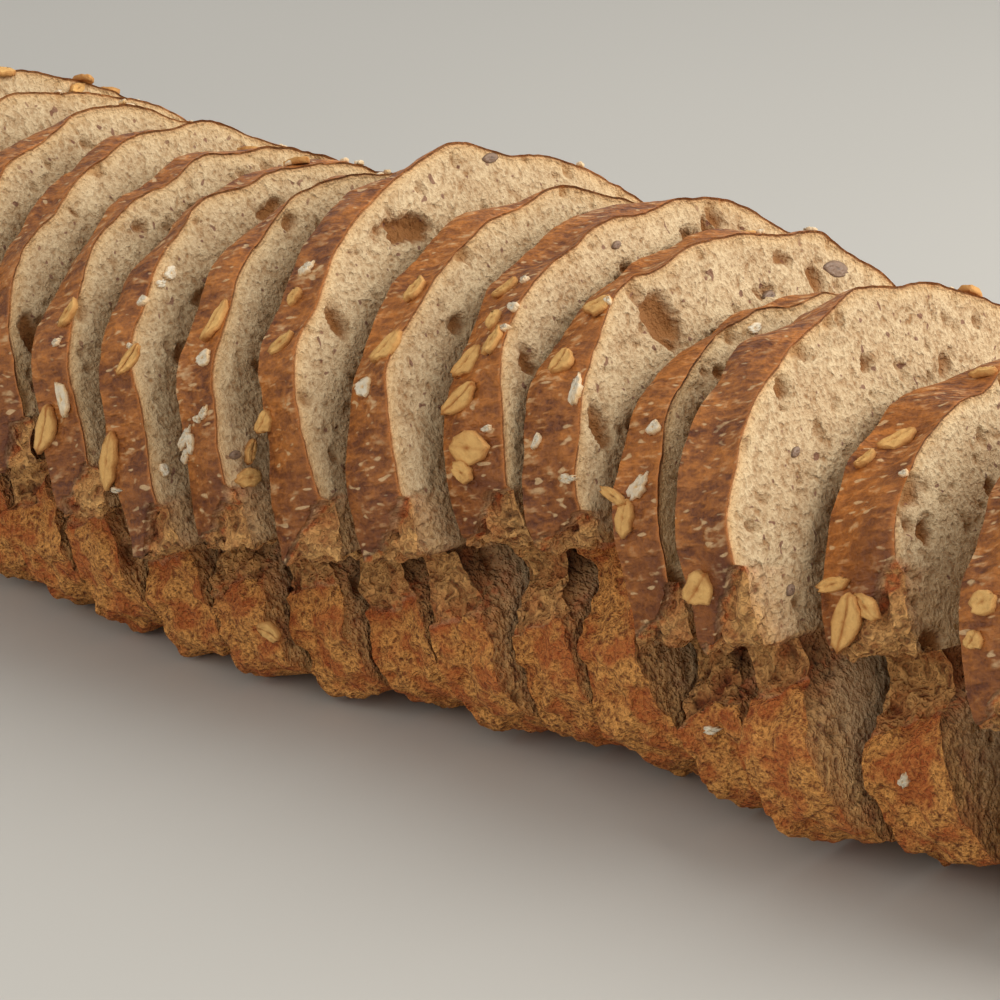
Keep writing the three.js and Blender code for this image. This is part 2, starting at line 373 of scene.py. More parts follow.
class Finish:
    """A material with its shader, and the one method that adds its nodes."""

    def __init__(self, name, constants):
        self.material = bpy.data.materials.new(name)
        self.material.use_nodes = True
        self.tree = self.material.node_tree
        self.tree.nodes.clear()
        self.shader = self.add("ShaderNodeBsdfPrincipled", {}, constants)
        self.add("ShaderNodeOutputMaterial", {}, {"Surface": self.shader.outputs["BSDF"]})

    def add(self, kind, settings, values):
        """A node of this kind: its settings first, then the values or links of its sockets."""
        node = self.tree.nodes.new(kind)
        for name, value in settings.items():
            setattr(node, name, value)
        for name, value in values.items():
            socket = node.inputs[name]
            if isinstance(value, Number):
                self.tree.links.new(value.socket, socket)
            elif isinstance(value, bpy.types.NodeSocket):
                self.tree.links.new(value, socket)
            else:
                socket.default_value = value
        return node

    def place(self):
        """Object coordinates, in metres."""
        return self.add("ShaderNodeTexCoord", {}, {}).outputs["Object"]

    def attribute(self, name):
        """A number stored at the corners of the mesh."""
        node = self.add("ShaderNodeAttribute", {"attribute_name": name}, {})
        return Number(self, node.outputs["Fac"])

    def grain(self, place, size, detail=2.0, roughness=0.5, shift=0.0):
        """Cloudy noise, mostly 0.3 to 0.7, with clouds of this size in millimetres."""
        away = (0.037 * shift, 0.023 * shift, 0.031 * shift)
        moved = self.add("ShaderNodeVectorMath", {"operation": "ADD"}, {0: place, 1: away})
        values = {
            "Vector": moved.outputs[0], "Scale": 1 / (size * MILLIMETRE),
            "Detail": detail, "Roughness": roughness,
        }
        node = self.add("ShaderNodeTexNoise", {}, values)
        return Number(self, node.outputs["Fac"])

    def along_cut(self, place, stretch):
        """Coordinates turned with the leaning slices and drawn out through their thickness."""
        lean = bpy.context.scene.loaf_sizes.lean
        values = {"Vector": place, "Rotation": (0, -lean, 0), "Scale": (stretch, 1, 1)}
        return self.add("ShaderNodeMapping", {"vector_type": "TEXTURE"}, values).outputs[0]

    def mix(self, share, first, second):
        """The first colour, turning into the second as the share goes from 0 to 1."""
        settings = {"data_type": "RGBA", "clamp_factor": True}
        node = self.add("ShaderNodeMix", settings, {0: share, 6: first, 7: second})
        return node.outputs[2]

    def surface(self, base, roughness, height, depth):
        """Joins the colour, roughness and bump, whose height of 1 is this depth in millimetres."""
        values = {"Strength": 1.0, "Distance": depth * MILLIMETRE, "Height": height}
        bump = self.add("ShaderNodeBump", {}, values)
        links = self.tree.links
        links.new(base, self.shader.inputs["Base Color"])
        links.new(bump.outputs["Normal"], self.shader.inputs["Normal"])
        if isinstance(roughness, Number):
            links.new(roughness.socket, self.shader.inputs["Roughness"])
        else:
            self.shader.inputs["Roughness"].default_value = roughness
        return self.material


def bread_finish(colours):
    """Crumb, torn crumb and crust in one material, told apart by attributes of the mesh."""
    finish = Finish("baked_bread", {"Specular IOR Level": 0.45})
    place = finish.place()
    crust = finish.attribute("crust")
    torn = finish.attribute("torn")
    rim = finish.attribute("rim")
    pore = finish.attribute("pore")
    baked = finish.attribute("baked")
    soft = finish.attribute("soft")

    # Cut crumb: fine grain with small pits, painted shade in the pits and low grain, cloudy
    # patches and bran
    pit = finish.grain(place, size=1.5, detail=1.0, shift=6.0).between(0.5, 0.66)
    tiny = finish.grain(place, size=0.7, detail=1.0, shift=1.0).between(0.44, 0.66)
    fine = finish.grain(place, size=0.8, roughness=0.75)
    broad = finish.grain(place, size=5.0, detail=1.0, shift=3.0)
    hollow = (1 - fine.between(0.34, 0.66)) * 0.5 + pit * 0.28 + tiny * 0.26
    hollow = hollow + (broad.between(0.3, 0.7) - 0.5) * 0.3
    crumb = finish.mix(hollow, tuple(colours.crumb_light), tuple(colours.crumb_dark))
    # Painted shade inside the bubbles and at the pinched neck
    crumb = finish.mix(pore, crumb, tuple(colours.pore))
    speck = finish.grain(place, size=1.3, detail=0.0, shift=11.0).between(0.75, 0.8)
    crumb = finish.mix(speck * 0.8, crumb, tuple(colours.bran))
    crumb = finish.mix(rim.between(0.08, 0.75) * 0.75, crumb, tuple(colours.rim))
    crumb = finish.mix(rim.between(0.68, 0.98) * 0.85, crumb, tuple(colours.cut_edge))

    # Torn crumb on the side: ragged threads, light on top, with orange brown painted shade in the
    # hollows between them
    thread = finish.grain(place, size=1.6, detail=1.0, roughness=0.65, shift=2.0)
    shade = (1 - thread.between(0.34, 0.66)) * 0.5 + tiny * 0.25 + pit * 0.3
    ragged = finish.mix(shade, tuple(colours.torn_light), tuple(colours.torn_dark))
    # Painted shade in the deepest hollows of the threads and at the neck, in the gap colour
    ragged = finish.mix(pore, ragged, tuple(colours.gap))
    blot = finish.grain(place, size=5.0, detail=1.0, roughness=0.6, shift=5.0)
    # Orange brown next to the tear, the baking colour with painted shade, and random orange blots
    scorched_and_shade = (baked * thread.between(0.4, 0.6) * 0.8).largest(blot.between(0.5, 0.66) * 0.35)
    ragged = finish.mix(scorched_and_shade, ragged, tuple(colours.soft_red))

    # Lower side: a soft grainy crust with orange brown patches
    pale = fine.between(0.28, 0.6) * 1.15 - tiny * 0.25 - pit * 0.2
    gentle = finish.mix(pale, tuple(colours.soft_dark), tuple(colours.soft_light))
    # Random orange brown patches, and next to the tear the baking colour with painted shade
    patchy = (blot.between(0.44, 0.6) * 0.65).largest(baked * blot.between(0.36, 0.56))
    gentle = finish.mix(patchy, gentle, tuple(colours.soft_red))

    # Crust: brown with golden streaks, darker and redder next to the tear from baking and from
    # painted shade by the ledge, dusted with flour
    leaning = finish.along_cut(place, stretch=2.6)
    patch = finish.grain(leaning, size=5.5, detail=0.0, shift=4.0)
    streak = finish.grain(leaning, size=1.5, roughness=0.65, shift=7.0)
    tone = patch.between(0.38, 0.62) * 0.3 + streak.between(0.4, 0.6) * 0.45
    tone = tone + fine.between(0.36, 0.64) * 0.25
    skin = finish.mix(tone, tuple(colours.crust_dark), tuple(colours.crust_light))
    # Baking colour and painted shade next to the ledge
    deep = baked * (0.25 + patch.between(0.3, 0.7) * 0.7)
    skin = finish.mix(deep, skin, tuple(colours.crust_red))
    dust = finish.grain(leaning, size=0.9, detail=0.0, shift=12.0).between(0.71, 0.78)
    dusted = (dust * 0.7).largest(broad.between(0.45, 0.6) * streak.between(0.56, 0.7) * 0.6)
    skin = finish.mix(dusted, skin, tuple(colours.flour))
    skin = finish.mix(soft, skin, gentle)
    skin = finish.mix(rim * 0.85, skin, tuple(colours.cut_edge))

    base = finish.mix(torn, crumb, ragged)
    base = finish.mix(crust, base, skin)
    crumb_height = fine * 0.9 - tiny * 0.2 - pit * 0.3
    torn_height = thread * 2.4 - tiny * 0.8 - pit
    skin_height = fine * 0.6 + streak * 2.0 + patch * 1.4
    soft_height = fine * 2.0 - tiny * 0.7 - pit * 0.6
    skin_height = skin_height + (soft_height - skin_height) * soft
    height = crumb_height + (torn_height - crumb_height) * torn
    height = height + (skin_height - height) * crust
    roughness = 0.9 - crust * (1 - soft) * (0.5 - fine * 0.3)
    return finish.surface(base, roughness, height, depth=0.55)


def flake_finish(name, middle, crease, roughness):
    """Dry toasted flake: pale on top and darker at the edge, with painted shade in the crease and
    on the underside.
    """
    finish = Finish(name, {"Specular IOR Level": 0.4})
    place = finish.place()
    dark = finish.attribute("crease")
    streak = finish.grain(place, size=0.7, detail=3.0, roughness=0.6, shift=3.0)
    patch = finish.grain(place, size=2.6, shift=9.0)
    share = dark * 0.8 + patch.between(0.42, 0.75) * 0.35 + streak.between(0.5, 0.8) * 0.3
    base = finish.mix(share, tuple(middle), tuple(crease))
    return finish.surface(base, roughness, streak - dark * 0.5, depth=0.25)


def floor_finish(colour_value):
    """Plain pale matt floor with a very faint cloud in its colour."""
    finish = Finish("pale_floor", {"Specular IOR Level": 0.3})
    place = finish.place()
    cloud = finish.grain(place, size=120.0, detail=0.0)
    base = tuple(colour_value)
    darker = tuple(0.97 * part for part in base[:3]) + (1.0,)
    shade = finish.mix(cloud, base, darker)
    finish.tree.links.new(shade, finish.shader.inputs["Base Color"])
    finish.shader.inputs["Roughness"].default_value = 0.55
    return finish.material


# Random bumps, the same on every run

LATTICE_SIZE = 48
LATTICE = np.random.RandomState(7).uniform(-1, 1, (LATTICE_SIZE, LATTICE_SIZE, LATTICE_SIZE))


def bumps(points, size, shift=0.0):
    """Smooth random heights from -1 to 1 at points, with bumps of this size."""
    scaled = points / size + 13.7 * shift
    cell = np.floor(scaled).astype(int)
    part = scaled - cell
    part = part * part * (3 - 2 * part)
    total = np.zeros(len(points))
    for corner in range(8):
        step = np.array([corner & 1, corner >> 1 & 1, corner >> 2 & 1])
        weight = np.prod(np.where(step, part, 1 - part), axis=1)
        index = (cell + step) % LATTICE_SIZE
        total += weight * LATTICE[index[:, 0], index[:, 1], index[:, 2]]
    return total


def ease(value, low, high):
    """0 below low, 1 above high, smooth between."""
    share = np.clip((value - low) / (high - low), 0, 1)
    return share * share * (3 - 2 * share)


# The shape of one slice, in millimetres: through its thickness, across, and up along it


def slice_corners(row, foot):
    """Corners of the closed outline, across and up, from the base round the crust side."""
    half, height, ledge, low = row["half"], row["height"], row["ledge"], row["low"]
    neck = min(low - 2.5, half - 10)
    peak = row["peak"]
    shoulder = (
        0.965 - 0.065 * peak, 0.825 - 0.125 * peak, 0.56 - 0.12 * peak, 0.23 - 0.08 * peak)
    return np.array([
        (-0.6 * foot, 0), (-foot, 0.05 * ledge), (-0.5 * (foot + low) - 1, 0.15 * ledge),
        (-0.97 * low, 0.3 * ledge), (-low, 0.46 * ledge), (-low + 0.8, 0.62 * ledge),
        (-neck, 0.8 * ledge), (-neck - 1, 0.92 * ledge), (-half + 2, ledge - 1.2),
        (-half, ledge + 2.5), (-shoulder[0] * half, 0.7 * height),
        (-shoulder[1] * half, 0.84 * height), (-shoulder[2] * half, 0.945 * height),
        (-shoulder[3] * half, 0.995 * height), (0.07 * half, height),
        (0.37 * half, 0.957 * height), (0.65 * half, 0.87 * height), (0.86 * half, 0.74 * height),
        (0.977 * half, 0.58 * height), (0.99 * half, 0.41 * height), (0.93 * half, 0.235 * height),
        (0.79 * half, 0.1 * height), (0.6 * half, 0.03 * height), (0.6 * foot, 0),
    ], float)


TAPER_START = 0.2  # part of the height over which a slice keeps its full thickness
NECK_PINCH = 3.2   # how much thinner the torn neck is than the slice, in millimetres
NECK_LOW = 5.0     # corner where the lower crust ends
LEDGE_TIP = 8.35   # corner where the upper crust begins
FINE_FROM = 1.0    # the fine part of the outline, in corners
FINE_TO = 16.5
SAMPLES = 60       # points on the curve between two corners, before they are spaced anew
RING_STEP = 16     # the number of points round a slice is a multiple of this


def smooth_outline(corners, fine):
    """Points along the outline, spaced finely on the crust side, and their outward directions.

    With them come their lengths along the outline, and those of the neck's and the ledge's corner.
    """
    count = len(corners)
    at = np.arange(count * SAMPLES) / SAMPLES
    index = at.astype(int)
    part = (at - index)[:, None]
    before, here = corners[(index - 1) % count], corners[index]
    after, beyond = corners[(index + 1) % count], corners[(index + 2) % count]
    leave, arrive = 0.5 * (after - before), 0.5 * (beyond - here)
    curve = (
        (2 * part ** 3 - 3 * part ** 2 + 1) * here + (part ** 3 - 2 * part ** 2 + part) * leave
        + (3 * part ** 2 - 2 * part ** 3) * after + (part ** 3 - part ** 2) * arrive)
    curve[:, 1] = np.maximum(curve[:, 1], 0)
    step = np.linalg.norm(np.roll(curve, -1, axis=0) - curve, axis=1)
    spacing = np.where((at >= FINE_FROM) & (at <= FINE_TO), fine, 2 * fine)
    run = np.concatenate([[0], np.cumsum(step / spacing)])
    length = np.concatenate([[0], np.cumsum(step)])
    total = int(round(run[-1] / RING_STEP)) * RING_STEP
    want = np.arange(total) * run[-1] / total
    at_end = np.append(at, count)
    closed = np.vstack([curve, curve[:1]])
    points = np.column_stack([
        np.interp(want, run, closed[:, 0]), np.interp(want, run, closed[:, 1])])
    along = np.interp(want, run, length)
    forward = np.roll(points, -1, axis=0) - np.roll(points, 1, axis=0)
    forward /= np.maximum(np.linalg.norm(forward, axis=1), 1e-9)[:, None]
    outward = np.column_stack([-forward[:, 1], forward[:, 0]])
    marks = np.interp([NECK_LOW, LEDGE_TIP], at_end, length)
    return points, outward, along, marks


def swell_phases(number):
    """Three repeatable angles that set where this slice bulges."""
    state = number * 7919 + 17
    phases = []
    for _ in range(3):
        state = state * 48271 % 2147483647
        phases.append(6 * state / 2147483647)
    return phases


class PoreMap:
    """Depth of the bubbles over one cut face, on a grid of square cells."""

    cell = 0.22
    left = -52.0
    bottom = -2.0
    wide = 104.0
    tall = 90.0
    random_pores = 300

    def __init__(self, number, height, seed, bubbles):
        self.random = np.random.RandomState(seed * 100 + number)
        self.depth = np.zeros((int(self.tall / self.cell), int(self.wide / self.cell)))
        rows, columns = self.depth.shape
        across = self.left + self.cell * (np.arange(columns) + 0.5)
        up = self.bottom + self.cell * (np.arange(rows) + 0.5)
        self.across, self.up = np.meshgrid(across, up)
        flat = np.column_stack([
            np.full(self.depth.size, 31.0 * number), self.across.ravel(), self.up.ravel()])
        shape = self.depth.shape
        warp_across = bumps(flat, 1.7, 1) + 0.5 * bumps(flat, 0.7, 2)
        warp_up = bumps(flat, 1.7, 3) + 0.5 * bumps(flat, 0.7, 4)
        self.warp_across = warp_across.reshape(shape)
        self.warp_up = warp_up.reshape(shape)
        for _ in range(self.random_pores):
            size = 0.5 * (1 - self.random.uniform(0, 0.985)) ** -0.36
            self.random_pore(size, height)
        for hole in bubbles:
            if hole["slice"] == number:
                self.stamp(
                    hole["across"], hole["up"], hole["wide"], hole["tall"], 0.75 * hole["deep"],
                    turn=math.radians(hole["turn"]), warp=0.3)

    def random_pore(self, size, height):
        """One bubble anywhere on the face, longer one way than the other."""
        stretch = self.random.uniform(1.0, 2.1)
        turn = self.random.normal(0.5, 0.6)
        across = self.random.uniform(-50, 50)
        up = self.random.uniform(2, height)
        depth = min(size * self.random.uniform(0.8, 1.4), 2.2)
        self.stamp(across, up, size, size * stretch, depth, turn=turn, warp=0.32)

    def stamp(self, across, up, wide, tall, deep, turn, warp):
        """Presses one bubble into the map, with a ragged edge."""
        reach = 1.6 * max(wide, tall)
        rows, columns = self.depth.shape
        left = max(int((across - reach - self.left) / self.cell), 0)
        right = min(int((across + reach - self.left) / self.cell) + 1, columns)
        low = max(int((up - reach - self.bottom) / self.cell), 0)
        high = min(int((up + reach - self.bottom) / self.cell) + 1, rows)
        if left >= right or low >= high:
            return
        area = (slice(low, high), slice(left, right))
        side = self.across[area] - across + warp * wide * self.warp_across[area]
        rise = self.up[area] - up + warp * tall * self.warp_up[area]
        turned = side * math.cos(turn) + rise * math.sin(turn)
        upright = rise * math.cos(turn) - side * math.sin(turn)
        radius = (turned / wide) ** 2 + (upright / tall) ** 2
        dent = deep * np.clip(1 - radius, 0, 1) ** 0.7
        self.depth[area] = np.maximum(self.depth[area], dent)

    def at(self, across, up):
        """Depth at these places, between the grid's cells."""
        rows, columns = self.depth.shape
        x = np.clip((across - self.left) / self.cell - 0.5, 0, columns - 2)
        y = np.clip((up - self.bottom) / self.cell - 0.5, 0, rows - 2)
        column, row = x.astype(int), y.astype(int)
        right, rise = x - column, y - row
        depth = self.depth
        lower = depth[row, column] * (1 - right) + depth[row, column + 1] * right
        upper = depth[row + 1, column] * (1 - right) + depth[row + 1, column + 1] * right
        return lower * (1 - rise) + upper * rise


def ring_faces(outer, inner, front):
    """Triangles between two rings of points, the inner one of the same number or half as many."""
    count = len(outer)
    here = np.arange(count)
    after = (here + 1) % count
    if len(inner) == count:
        one = np.column_stack([outer[here], inner[here], inner[after]])
        two = np.column_stack([outer[here], inner[after], outer[after]])
        faces = np.vstack([one, two])
    else:
        half = np.arange(count // 2)
        first, middle, last = outer[2 * half], outer[2 * half + 1], outer[(2 * half + 2) % count]
        near, far = inner[half], inner[(half + 1) % len(inner)]
        faces = np.vstack([
            np.column_stack([first, near, middle]), np.column_stack([near, far, middle]),
            np.column_stack([middle, far, last])])
    return faces if front else faces[:, ::-1]


class SliceMesh:
    """Points, triangles and attributes of one slice, gathered part by part."""

    names = ("crust", "torn", "rim", "pore", "baked", "soft")

    def __init__(self):
        self.points = []
        self.faces = []
        self.values = {name: [] for name in self.names}
        self.outward = []
        self.count = 0

    def add(self, points, outward, **values):
        """Adds points, and returns their numbers."""
        self.points.append(points)
        self.outward.append(np.broadcast_to(outward, points.shape))
        for name in self.names:
            self.values[name].append(np.broadcast_to(values.get(name, 0.0), len(points)))
        numbers = self.count + np.arange(len(points))
        self.count += len(points)
        return numbers


SLICE_STEP = 37.0   # keeps the random bumps of two slices apart, in millimetres
SWELL = 0.45        # how far the side bulges, in millimetres
SWELL_RADIUS = 50   # distance from the middle at which it does
FACE_DEPTH = 42     # how far in from the outline the middle of a face is taken to be


def tear_lines(row, marks, spot, share):
    """Where the crust ends above and below the torn neck, in millimetres along the outline."""
    ragged = 2.4 * bumps(spot, 5.0, 5) + 1.5 * bumps(spot, 2.2, 6) + 0.7 * bumps(spot, 1.0, 23)
    upper = marks[1] + 1.5 + row["tear"] * ease(share, 0.0, 1.05) + ragged
    lower = marks[0] + 2.2 * bumps(spot, 4.5, 7) + 0.8 * bumps(spot, 1.3, 8) + 2.0 * share
    lower = lower + (1 - row["torn"]) * (upper - lower)
    return upper, lower


def baked_and_shade_share(above, below, torn):
    """How dark and red each point is painted, from baking next to the tear and painted shade by
    the ledge: most where the crust ends, above and below the tear.
    """
    top = np.exp(-np.maximum(above, 0) / 8) * (above > -1) * ease(-above, -26, -4)
    bottom = np.exp(-np.maximum(below, 0) / 3.0) * (below > -1)
    singed = torn * np.exp(-np.minimum(np.abs(above), np.abs(below)) / 1.6)
    return np.maximum(np.maximum(top, bottom), singed)


def swell_share(grid, number):
    """How far each point is moved out from the middle by the slice's slow bulges."""
    phases = swell_phases(number)
    angle = np.arctan2(grid[:, 2] - 35, grid[:, 1])
    swell = (np.sin(5 * angle + phases[0] + 0.3 * grid[:, 0])
             + 0.6 * np.sin(11 * angle + phases[1] - 0.25 * grid[:, 0])
             + 0.4 * np.sin(17 * angle + phases[2]))
    return 1 + np.where(grid[:, 2] > 1, SWELL * swell / SWELL_RADIUS, 0)


def crust_blisters(spot, soft):
    """Height of the crust's blisters and fine grit, with more of them on its soft lower part."""
    blister = 0.32 * bumps(spot, 6.5, 9) + 0.2 * bumps(spot, 2.4, 10) + 0.1 * bumps(spot, 1.0, 11)
    return blister + soft * (
        0.9 * bumps(spot, 5.2, 18) + 0.75 * bumps(spot, 2.6, 19) + 0.5 * bumps(spot, 1.3, 24))


def torn_threads(spot):
    """Height of the deep shaggy threads of the torn crumb."""
    stretched = spot * np.array([1.0, 1.0, 0.55])
    return (1.1 * bumps(stretched, 3.6, 12) + 1.0 * bumps(stretched, 1.9, 13)
            + 0.75 * bumps(spot, 1.1, 14))


def face_rings(front, fine):
    """How far in from the outline a face has its rings of points, in millimetres."""
    if not front:
        return [0.4, 1.2, 2.4, 4, 6.5, 10, 15, 21, 28, 36]
    step = fine * 1.1
    return list(0.35 + step * np.arange(int(21 / step))) + [22.5, 24, 26, 28.5, 31, 34, 37.5]


def end_press(local, ring):
    """How far a heel's closed end is pressed in at one ring, and what it is made of."""
    fade = 1 - math.exp(-ring / 0.9)
    sink = 1.6 * math.exp(-ring / 2.2) - 0.3 * bumps(local, 5, 17)
    return np.clip(sink, -0.2, 2) * fade, dict(crust=1.0, baked=0.25, soft=0.3)


def cut_press(local, ring, edge, depth):
    """How far a cut face is pressed in at one ring, and what it is made of."""
    fade = 1 - math.exp(-ring / 0.9)
    level = 0.22 * bumps(local, 9, 15) + 0.12 * bumps(local, 2.6, 16)
    shaggy = 0.9 * bumps(local, 2.4, 21) + 0.6 * bumps(local, 1.2, 22)
    press = (0.25 + level + depth) * fade
    press = press + edge["torn"] * (0.6 + shaggy) * math.exp(-ring / 4.0) * fade
    press = np.maximum(press, 0) + edge["pinch"] * math.exp(-(ring / 8.5) ** 2)
    near = math.exp(-(ring / 9) ** 2)
    hidden = np.maximum(edge["pinch"] / NECK_PINCH, 0.9 * edge["soft"]) * near
    return press, dict(
        crust=edge["crust"] * math.exp(-ring / 0.3),
        torn=np.maximum(edge["torn"] * math.exp(-ring / 4.0), hidden),
        rim=edge["crust"] * math.exp(-ring / 1.3),
        # Painted shade in the deeper bubbles and at the pinched neck
        pore=np.maximum(ease(depth, 0.3, 1.5), edge["pinch"] / NECK_PINCH * near),
        baked=edge["baked"], soft=edge["soft"])


def add_face(mesh, numbers, edge, front, closed, scale, pores, number, sizes):
    """One face of a slice: rings from its outline to its middle, pressed in by the bubbles."""
    centre = np.array([0, 0.45 * SLICES[number - 1]["height"]]) * scale
    facing = np.array([1.0 if front else -1.0, 0, 0])
    fine_to = 21.5 if front else 1
    count = len(numbers)
    for ring in face_rings(front, sizes.fine_step / MILLIMETRE):
        if ring > fine_to and len(edge["side"]) == count:
            edge = {name: value[::2] for name, value in edge.items()}
        side, plain = edge["side"], edge["plain"]
        inside = 1 - ring / FACE_DEPTH
        place = centre + inside * (plain - centre) + (side - plain) * math.exp(-ring / 1.4)
        local = np.column_stack([np.full(len(place), number * SLICE_STEP), place])
        if closed:
            press, values = end_press(local, ring)
        else:
            press, values = cut_press(local, ring, edge, pores.at(place[:, 0], place[:, 1]))
        full = thickness_at(number, sizes, place[:, 1])
        points = np.column_stack([full - press if front else press, place])
        inner_numbers = mesh.add(points, facing, **values)
        mesh.faces.append(ring_faces(numbers, inner_numbers, front))
        numbers = inner_numbers
    tip = np.array([[points[:, 0].mean(), *centre]])
    hub = mesh.add(tip, facing, **{key: np.mean(value) for key, value in values.items()})
    around = np.column_stack([numbers, np.full(len(numbers), hub[0]), np.roll(numbers, -1)])
    mesh.faces.append(around if front else around[:, ::-1])


def shape_slice(number, sizes):
    """The detailed mesh of one slice in its own frame, in millimetres."""
    row = SLICES[number - 1]
    first, last = number == 1, number == len(SLICES)
    fine = sizes.fine_step / MILLIMETRE
    corners = slice_corners(row, sizes.foot / MILLIMETRE)
    flat, outward, along, marks = smooth_outline(corners, fine)
    count = len(flat)
    layers = int(round(0.85 * base_thickness(number, sizes) / fine)) + 1
    mesh = SliceMesh()

    # The side before its relief: layers of points from the back face to the front face
    neck = np.clip((along - marks[0] + 2) / (marks[1] - marks[0] + 3), 0, 1)
    pinch = row["torn"] * NECK_PINCH * np.sin(math.pi * neck) ** 1.5
    thickness = thickness_at(number, sizes, flat[:, 1]) - pinch
    share = np.repeat(np.linspace(0, 1, layers), count)
    grid = np.column_stack([
        share * np.tile(thickness, layers), np.tile(flat[:, 0], layers),
        np.tile(flat[:, 1], layers)])
    spot = grid + np.array([number * SLICE_STEP, 0, 0])

    # What each point is made of
    upper, lower = tear_lines(row, marks, spot, share)
    run = np.tile(along, layers)
    above = run - upper
    below = lower - run
    crust = np.maximum(ease(above, -0.25, 0.35), ease(below, -0.3, 0.4))
    torn = 1 - crust
    soft = np.where(above > below, 0.0, 1.0)
    # Darker and redder next to the tear: the crust's baking colour, and painted shade by the ledge
    # and under it
    baked = baked_and_shade_share(above, below, torn)
    burnt_edge = crust * (1 - soft) * ease(share + 0.03 * bumps(spot, 1.0, 20), 0.93, 1.0)

    # Heels grow smaller towards their rounded end
    shrink = np.ones(layers * count)
    if first or last:
        outer = share if last else 1 - share
        shrink = 1 - sizes.heel_shrink * outer ** 3 - 0.06 * outer
    grow = shrink * swell_share(grid, number)
    plain = grid[:, 1:] * grow[:, None]

    # Relief: blisters on the crust, threads on the torn crumb, none on the flat base
    threads = torn_threads(spot)
    under = ease(above, -9, 0) * ease(share, 0.25, 0.9)
    relief = crust * crust_blisters(spot, soft) + torn * (-0.8 + threads - 1.1 * under)
    relief = relief * ease(grid[:, 2], 0.2, 2.5)
    normal = np.tile(outward, (layers, 1))
    side = plain + normal * relief[:, None]
    away = np.column_stack([np.zeros(len(normal)), normal])
    # Painted shade in the hollows between the torn threads
    hollow = torn * ease(-threads, 0.3, 1.4)
    numbers = mesh.add(
        np.column_stack([grid[:, 0], side]), away, crust=crust, torn=torn, pore=hollow,
        baked=baked, soft=soft, rim=burnt_edge).reshape(layers, count)
    for layer in range(layers - 1):
        mesh.faces.append(ring_faces(numbers[layer], numbers[layer + 1], True))

    pores = PoreMap(number, row["height"], sizes.seed, BUBBLES)
    for front in (True, False):
        layer = layers - 1 if front else 0
        span = slice(layer * count, (layer + 1) * count)
        edge = dict(
            side=side[span], plain=plain[span], crust=crust[span], torn=torn[span],
            baked=baked[span], soft=soft[span], pinch=pinch if front else 0 * pinch)
        closed = (last and front) or (first and not front)
        scale = shrink[span].mean() if (first or last) else 1.0
        add_face(mesh, numbers[layer], edge, front, closed, scale, pores, number, sizes)
    return mesh


def base_thickness(number, sizes):
    """Thickness at the base in millimetres, or what room there is before the next slice."""
    thickness = SLICES[number - 1]["base"]
    if number < len(SLICES):
        step = SLICES[number]["x"] - SLICES[number - 1]["x"]
        thickness = min(thickness, step * math.cos(sizes.lean) - sizes.gap / MILLIMETRE)
    return thickness * sizes.thickness


def thickness_at(number, sizes, up):
    """Thickness in millimetres at heights along the slice, which is thinner towards the top."""
    row = SLICES[number - 1]
    base = base_thickness(number, sizes)
    top = row["top"] * sizes.thickness
    rise = (up / row["height"] - TAPER_START) / (1 - TAPER_START)
    return base + (top - base) * np.clip(rise, 0, 1)


def stand_up(points, number, sizes):
    """Points of a slice's own frame in millimetres, leant back and put in the row, in metres."""
    row = SLICES[number - 1]
    lean = sizes.lean
    x = row["x"] + ROW_X + points[:, 0] * math.cos(lean) - points[:, 2] * math.sin(lean)
    y = row["y"] + ROW_Y + points[:, 1]
    z = points[:, 0] * math.sin(lean) + points[:, 2] * math.cos(lean) - sizes.sink / MILLIMETRE
    return np.column_stack([x, y, np.maximum(z, 0)]) * MILLIMETRE


def turn_up(directions, sizes):
    """Directions of a slice's own frame, leant back."""
    lean = sizes.lean
    x = directions[:, 0] * math.cos(lean) - directions[:, 2] * math.sin(lean)
    z = directions[:, 0] * math.sin(lean) + directions[:, 2] * math.cos(lean)
    return np.column_stack([x, directions[:, 1], z])


def mesh_object(name, points, faces, values, material):
    """A smooth triangle mesh at the origin, with its attributes and its material."""
    mesh = bpy.data.meshes.new(name)
    mesh.vertices.add(len(points))
    mesh.vertices.foreach_set("co", np.asarray(points, np.float32).ravel())
    mesh.loops.add(3 * len(faces))
    mesh.loops.foreach_set("vertex_index", np.asarray(faces, np.int32).ravel())
    mesh.polygons.add(len(faces))
    mesh.polygons.foreach_set("loop_start", np.arange(0, 3 * len(faces), 3, dtype=np.int32))
    mesh.polygons.foreach_set("use_smooth", np.ones(len(faces), bool))
    mesh.update(calc_edges=True)
    for key, value in values.items():
        layer = mesh.attributes.new(key, "FLOAT", "POINT")
        layer.data.foreach_set("value", np.asarray(value, np.float32))
    mesh.materials.append(material)
    piece = bpy.data.objects.new(name, mesh)
    bpy.context.scene.collection.objects.link(piece)
    return piece


def slice_name(number):
    return f"slice_{number:02d}"


SLICE_FACTS = {}


class LOAF_OT_slices(bpy.types.Operator):
    """Make the slices with their crust, crumb and bubbles"""
    bl_idname = "loaf.slices"
    bl_label = "Slices"

    def execute(self, context):
        sizes = context.scene.loaf_sizes
        material = bread_finish(context.scene.loaf_colours)
        for number in range(1, len(SLICES) + 1):
            node = slice_name(number)
            if node not in frame["nodes"]:
                raise RuntimeError(f"the frame has no {node}")
            made = shape_slice(number, sizes)
            points = stand_up(np.vstack(made.points), number, sizes)
            faces = np.vstack(made.faces)
            values = {name: np.concatenate(parts) for name, parts in made.values.items()}
            piece = mesh_object(f"bread_{node}", points, faces, values, material)
            piece.data.set_sharp_from_angle(angle=math.radians(75))
            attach(piece, BODY)
            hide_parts(node)
            SLICE_FACTS[piece.name] = (
                faces, turn_up(np.vstack(made.outward), sizes), values["crust"])
        return {"FINISHED"}


